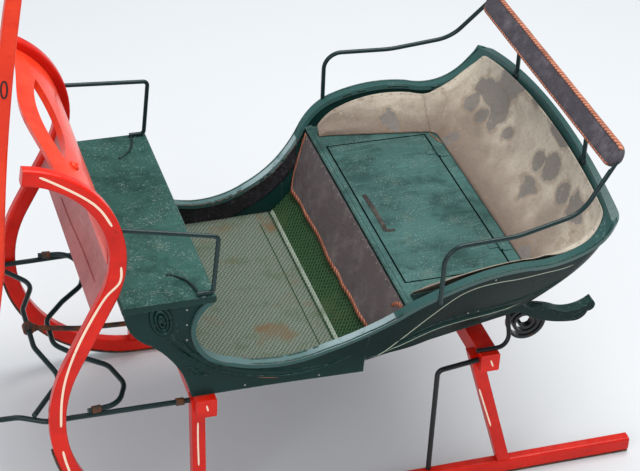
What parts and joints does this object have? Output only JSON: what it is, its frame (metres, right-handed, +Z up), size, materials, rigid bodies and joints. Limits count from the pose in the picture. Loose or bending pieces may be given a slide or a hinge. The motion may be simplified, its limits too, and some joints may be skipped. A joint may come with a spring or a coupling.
{
  "type": "horse drawn sleigh",
  "caption": "Light horse sleigh with swan neck runners, a driver's seat behind a curved dash, an open tub with a lidded passenger bench, and shafts that swing up to park.",
  "frame": {"origin": "on the ground under the middle of the overall length and width", "axes": "+X forward to the shafts, +Y to the sleigh's left, +Z up"},
  "size_m": [2.0485, 1.144, 2.4181],
  "materials": {
    "paint_red": "gloss red paint on wood with a pale pinstripe",
    "paint_dark_red": "gloss dark red paint on boards",
    "paint_green": "gloss dark green paint on wood",
    "rim_green": "worn pale grey-green paint on a rounded wood rim",
    "iron_green": "green-black paint on iron rod",
    "iron_black": "black iron",
    "iron_worn": "bare iron with rust",
    "shaft_wood": "gloss red paint on bent wood",
    "leather_dark": "dark brown worn leather with a braided edge",
    "oilcloth": "stained beige-grey oilcloth",
    "mat_cloth": "ribbed grey-green mat, worn brown"
  },
  "bodies": {
    "sleigh": {"runner_left": "paint_red", "runner_right": "paint_red", "bunk_front": "paint_red", "bunk_rear": "paint_red", "knees_front": "paint_red", "knees_rear": "paint_red", "dash_board": "paint_red", "dash_panel": "paint_dark_red", "footwell_side_left": "paint_green", "footwell_side_right": "paint_green", "tub_side_left": "paint_green", "tub_side_right": "paint_green", "tub_back": "paint_green", "toe_board": "paint_green", "floor_board": "paint_green", "tub_floor": "paint_green", "seat_riser": "paint_green", "seat_deck": "paint_green", "seat_rail": "paint_green", "driver_seat": "paint_green", "bearers": "paint_green", "entry_rims": "rim_green", "tub_rims": "rim_green", "back_rim": "rim_green", "front_rails": "iron_green", "arm_rails": "iron_green", "bolster_posts": "iron_green", "draft_irons": "iron_green", "bow_front": "iron_green", "bow_middle": "iron_green", "scrolls": "iron_black", "cee_irons": "iron_black", "stays": "iron_black", "lid_hinges": "iron_black", "shoes": "iron_worn", "centre_bar": "iron_worn", "bolster": "leather_dark", "seat_fall": "leather_dark", "back_lining": "oilcloth", "side_linings": "oilcloth", "floor_mat": "mat_cloth"},
    "lid": {"seat_lid": "paint_green"},
    "shafts": {"shaft_left": "shaft_wood", "shaft_right": "shaft_wood", "shaft_irons": "iron_black", "shaft_crossbar": "shaft_wood"}
  },
  "joints": [
    {"name": "lid_hinge", "type": "hinge", "parent": "sleigh", "child": "lid", "pos_m": [-0.577, 0, 0.7523], "axis": [0, -1, 0], "range_deg": [0, 80]},
    {"name": "shaft_hinge", "type": "hinge", "parent": "sleigh", "child": "shafts", "pos_m": [1.005, 0, 0.452], "axis": [0, 1, 0], "range_deg": [0, 105]}
  ]
}
